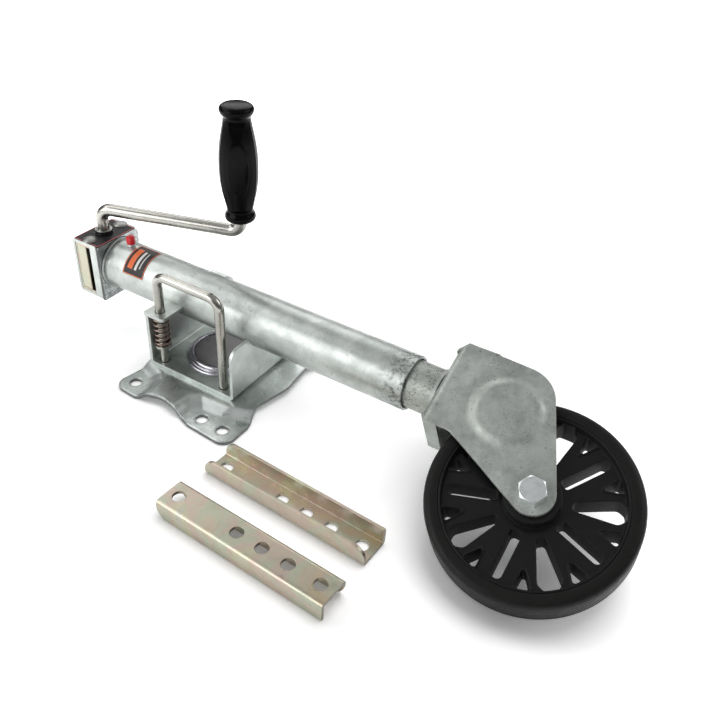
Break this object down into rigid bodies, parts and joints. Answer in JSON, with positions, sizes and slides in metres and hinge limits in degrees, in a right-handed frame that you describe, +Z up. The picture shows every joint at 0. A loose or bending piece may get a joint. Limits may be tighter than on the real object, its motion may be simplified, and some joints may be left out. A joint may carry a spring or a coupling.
{
  "type": "swivel trailer jack",
  "caption": "Swivel trailer jack with a crank-driven screw tube, castor wheel, swivelling saddle on a bolt-on plate, spring lock rod and loose backing channels.",
  "frame": {"origin": "middle of the plate's four main bolts, in the plane of its underside", "axes": "+Z up out of the plate, +X along the plate's long rows of bolts towards the wheel"},
  "size_m": [0.7223, 0.3371, 0.3085],
  "materials": {
    "galvanised": "dull hot-dip galvanised",
    "bright_zinc": "bright zinc plate",
    "yellow_zinc": "iridescent yellow chromate zinc",
    "plate_zinc": "pale iridescent chromate zinc",
    "hub_steel": "dark pressed steel",
    "dark_cap": "dark glossy cap",
    "ram_steel": "dull drawn tube",
    "screw_steel": "turned steel",
    "nut_bronze": "turned bronze",
    "spring_steel": "browned spring wire",
    "bush_plastic": "natural nylon",
    "grip_black": "glossy moulded plastic",
    "cap_red": "soft red cap",
    "label_black": "printed film",
    "wheel_black": "moulded wheel plastic",
    "tyre_black": "hard rubber"
  },
  "bodies": {
    "base": {"mount_plate": "plate_zinc", "hub_flange": "hub_steel", "hub_cap": "dark_cap", "channel_near": "yellow_zinc", "channel_far": "yellow_zinc"},
    "saddle": {"saddle_bracket": "galvanised", "outer_tube": "galvanised", "tube_label": "label_black", "guide_bush": "bush_plastic", "head_shell": "galvanised", "head_face_plate": "galvanised", "gear_carrier": "yellow_zinc", "head_label": "label_black", "rivet_near": "bright_zinc", "rivet_far": "bright_zinc", "crank_bush": "bright_zinc", "lower_bush": "galvanised", "grease_nipple": "bright_zinc", "nipple_cap": "cap_red", "screw_bearing": "bush_plastic", "lock_spring": "spring_steel"},
    "lock_handle": {"lock_rod": "bright_zinc", "spring_collar": "bright_zinc"},
    "crank": {"crank_rod": "bright_zinc", "crank_pinion": "screw_steel"},
    "grip": {"crank_grip": "grip_black"},
    "screw": {"lead_screw": "screw_steel", "face_gear": "screw_steel", "thrust_washer": "screw_steel"},
    "ram": {"inner_tube": "ram_steel", "drive_nut": "nut_bronze", "slide_shoe": "bush_plastic", "pivot_plug": "screw_steel", "pivot_clip": "screw_steel", "fork_washer": "screw_steel"},
    "castor": {"fork": "galvanised", "pivot_ring": "screw_steel", "axle_bolt": "bright_zinc", "axle_nut": "bright_zinc", "axle_sleeve": "screw_steel", "hub_spacer_upper": "bush_plastic", "hub_spacer_lower": "bush_plastic"},
    "wheel": {"wheel_centre": "wheel_black", "tyre": "tyre_black", "hub_bush_upper": "bush_plastic", "hub_bush_lower": "bush_plastic"}
  },
  "joints": [
    {"name": "saddle_swivel", "type": "hinge", "parent": "base", "child": "saddle", "pos_m": [0.00175, 0, 0], "axis": [0, 0, 1], "range_deg": [0, 90]},
    {"name": "lock_lift", "type": "slide", "parent": "saddle", "child": "lock_handle", "axis": [0, 0, 1], "range_m": [0, 0.006], "stiffness_N_per_m": 500, "springref_m": -0.01, "deforming": ["lock_spring"]},
    {"name": "crank_turn", "type": "hinge", "parent": "saddle", "child": "crank", "pos_m": [-0.181, -0.00958, 0.1214], "axis": [0, 0, 1], "range_deg": [0, 15480]},
    {"name": "grip_spin", "type": "hinge", "parent": "crank", "child": "grip", "pos_m": [-0.01503, 0.0545, 0.166], "axis": [0, 0, 1], "continuous": true},
    {"name": "screw_turn", "type": "hinge", "parent": "saddle", "child": "screw", "pos_m": [-0.15803, -0.00837, 0.0878], "axis": [0.9986, 0.0523, 0], "range_deg": [-8640, 0]},
    {"name": "ram_slide", "type": "slide", "parent": "saddle", "child": "ram", "axis": [0.9986, 0.0523, 0], "range_m": [0, 0.24]},
    {"name": "castor_swivel", "type": "hinge", "parent": "ram", "child": "castor", "pos_m": [0.29135, 0.01518, 0.0878], "axis": [0.9986, 0.0523, 0], "continuous": true},
    {"name": "wheel_spin", "type": "hinge", "parent": "castor", "child": "wheel", "pos_m": [0.41964, -0.04053, 0.05905], "axis": [0.0219, -0.4182, 0.9081], "continuous": true}
  ],
  "couplings": [
    {"joint": "screw_turn", "follows": "crank_turn", "ratio": -0.55556},
    {"joint": "ram_slide", "follows": "crank_turn", "m_per_rad": 0.00088419}
  ]
}
